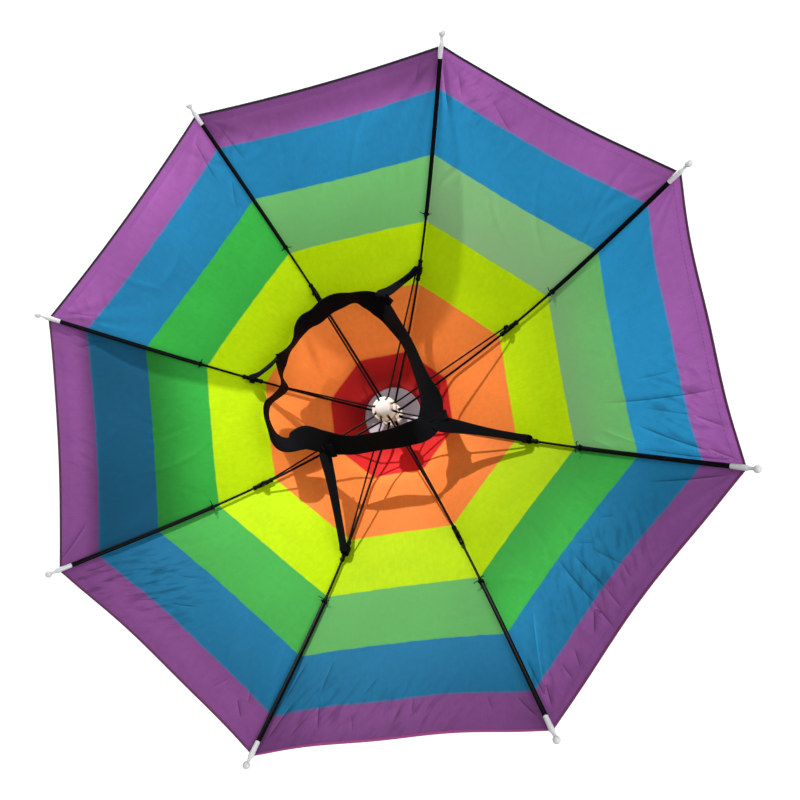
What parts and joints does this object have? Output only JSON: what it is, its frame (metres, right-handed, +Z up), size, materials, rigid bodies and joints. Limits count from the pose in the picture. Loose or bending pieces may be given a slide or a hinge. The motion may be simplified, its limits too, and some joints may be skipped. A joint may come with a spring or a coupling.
{
  "type": "umbrella hat",
  "caption": "Open umbrella hat lying on its crown: a wide rainbow-banded cloth bowl on ribs and stretchers, with an elastic head band inside.",
  "frame": {"origin": "centre of the crown cap's flat underside, which is the lowest face of the hat as it lies on its crown", "axes": "+Z up along the post, from the crown cap to the runner and out of the open bowl; +Y along rib 1, and the other ribs follow clockwise seen from above"},
  "size_m": [0.6196, 0.6196, 0.1611],
  "materials": {
    "canopy_cloth": "satin",
    "black_steel": "satin",
    "white_plastic": "satin",
    "black_elastic": "matte"
  },
  "bodies": {
    "root": {"crown_cap": "white_plastic", "crown_disc": "white_plastic", "crown_post": "white_plastic", "top_notch": "white_plastic", "runner": "white_plastic", "canopy_gore_1": "canopy_cloth", "rib_1": "black_steel", "rib_tip_1": "white_plastic", "rib_joint_1": "black_steel", "stretcher_1": "black_steel", "canopy_gore_2": "canopy_cloth", "rib_2": "black_steel", "rib_tip_2": "white_plastic", "rib_joint_2": "black_steel", "stretcher_2": "black_steel", "canopy_gore_3": "canopy_cloth", "rib_3": "black_steel", "rib_tip_3": "white_plastic", "rib_joint_3": "black_steel", "stretcher_3": "black_steel", "canopy_gore_4": "canopy_cloth", "rib_4": "black_steel", "rib_tip_4": "white_plastic", "rib_joint_4": "black_steel", "stretcher_4": "black_steel", "canopy_gore_5": "canopy_cloth", "rib_5": "black_steel", "rib_tip_5": "white_plastic", "rib_joint_5": "black_steel", "stretcher_5": "black_steel", "canopy_gore_6": "canopy_cloth", "rib_6": "black_steel", "rib_tip_6": "white_plastic", "rib_joint_6": "black_steel", "stretcher_6": "black_steel", "canopy_gore_7": "canopy_cloth", "rib_7": "black_steel", "rib_tip_7": "white_plastic", "rib_joint_7": "black_steel", "stretcher_7": "black_steel", "canopy_gore_8": "canopy_cloth", "rib_8": "black_steel", "rib_tip_8": "white_plastic", "rib_joint_8": "black_steel", "stretcher_8": "black_steel", "head_band": "black_elastic", "band_strap_1": "black_elastic", "band_strap_3": "black_elastic", "band_strap_5": "black_elastic", "band_strap_7": "black_elastic"}
  },
  "joints": []
}
